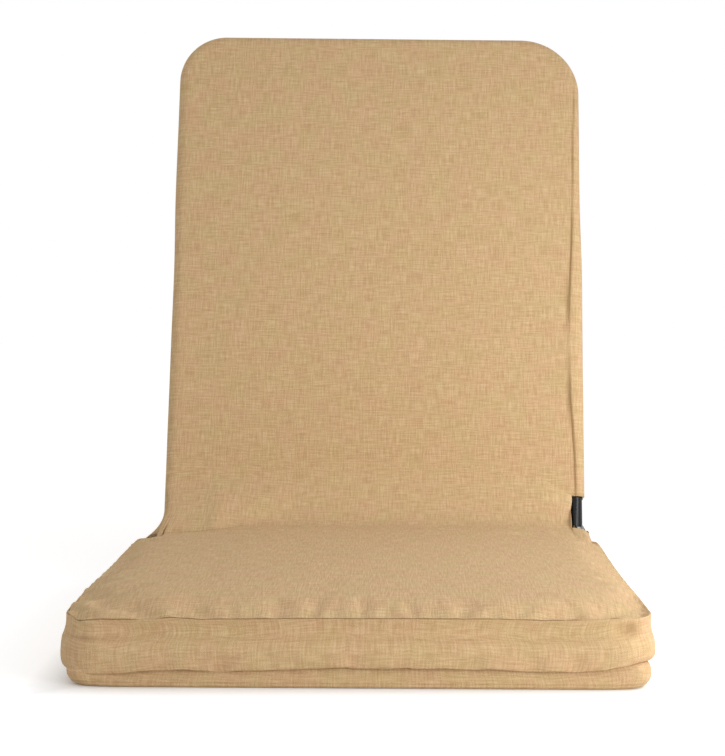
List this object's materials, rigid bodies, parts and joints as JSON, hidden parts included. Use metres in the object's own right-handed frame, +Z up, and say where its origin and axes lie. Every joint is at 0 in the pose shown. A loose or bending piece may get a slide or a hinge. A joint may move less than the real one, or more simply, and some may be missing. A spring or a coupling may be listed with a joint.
{
  "type": "folding floor chair",
  "caption": "Legless folding floor chair: tall slim padded back on ratchet hinges behind a boxed seat cushion on a flat base, all in tan woven covers.",
  "frame": {"origin": "on the floor, at the middle of the base cover's flat underside", "axes": "+Z up, +Y from the seat's front to the back, +X to the right seen from the front"},
  "size_m": [0.43, 0.5826, 0.545],
  "materials": {
    "tan_linen": "matte",
    "black_enamel": "gloss",
    "zinc_steel": "satin",
    "webbing": "matte",
    "felt": "matte",
    "foam": "matte",
    "hook_and_loop": "matte",
    "zip_nylon": "satin",
    "zip_metal": "satin"
  },
  "bodies": {
    "seat": {"seat_frame_tube": "black_enamel", "seat_cross_tube": "black_enamel", "hinge_outer_plate_left": "black_enamel", "hinge_inner_plate_left": "black_enamel", "hinge_outer_plate_right": "black_enamel", "hinge_inner_plate_right": "black_enamel", "tang_spacers": "zinc_steel", "pawl_spring_left": "zinc_steel", "pawl_spring_right": "zinc_steel", "hinge_pivot_rivet_left": "zinc_steel", "pawl_pin_left": "zinc_steel", "hinge_pivot_rivet_right": "zinc_steel", "pawl_pin_right": "zinc_steel", "spring_posts": "zinc_steel", "seat_tube_rivets": "zinc_steel", "base_cover": "tan_linen", "cushion_cover": "tan_linen", "cover_link": "tan_linen", "seat_webbing": "webbing", "cushion_foam": "foam", "hook_strips": "hook_and_loop", "loop_strips": "hook_and_loop", "base_zip_chain": "zip_nylon"},
    "back": {"back_frame_tube": "black_enamel", "back_cross_tube": "black_enamel", "back_webbing": "webbing", "back_pad": "felt", "back_cover": "tan_linen", "back_tube_rivets": "zinc_steel", "hinge_gear_arm_left": "zinc_steel", "hinge_gear_arm_right": "zinc_steel"},
    "pawl_left": {"pawl_left": "zinc_steel"},
    "pawl_right": {"pawl_right": "zinc_steel"},
    "zip_slider": {"zip_slider": "zip_metal"},
    "zip_pull": {"zip_pull": "zip_metal"}
  },
  "joints": [
    {"name": "back_fold", "type": "hinge", "parent": "seat", "child": "back", "pos_m": [0, 0.195, 0.045], "axis": [1, 0, 0], "range_deg": [-75, 105], "deforming": ["cover_link"]},
    {"name": "pawl_left_drop", "type": "hinge", "parent": "seat", "child": "pawl_left", "pos_m": [0, 0.177, 0.054], "axis": [1, 0, 0], "range_deg": [0, 10], "deforming": ["pawl_spring_left"]},
    {"name": "pawl_right_drop", "type": "hinge", "parent": "seat", "child": "pawl_right", "pos_m": [0, 0.177, 0.054], "axis": [1, 0, 0], "range_deg": [0, 10], "deforming": ["pawl_spring_right"]},
    {"name": "zip_slide", "type": "slide", "parent": "seat", "child": "zip_slider", "axis": [1, 0, 0], "range_m": [0, 0.322]},
    {"name": "pull_flip", "type": "hinge", "parent": "zip_slider", "child": "zip_pull", "pos_m": [-0.161, 0.1934, 0.01005], "axis": [0, 0, 1], "range_deg": [0, 170]}
  ]
}
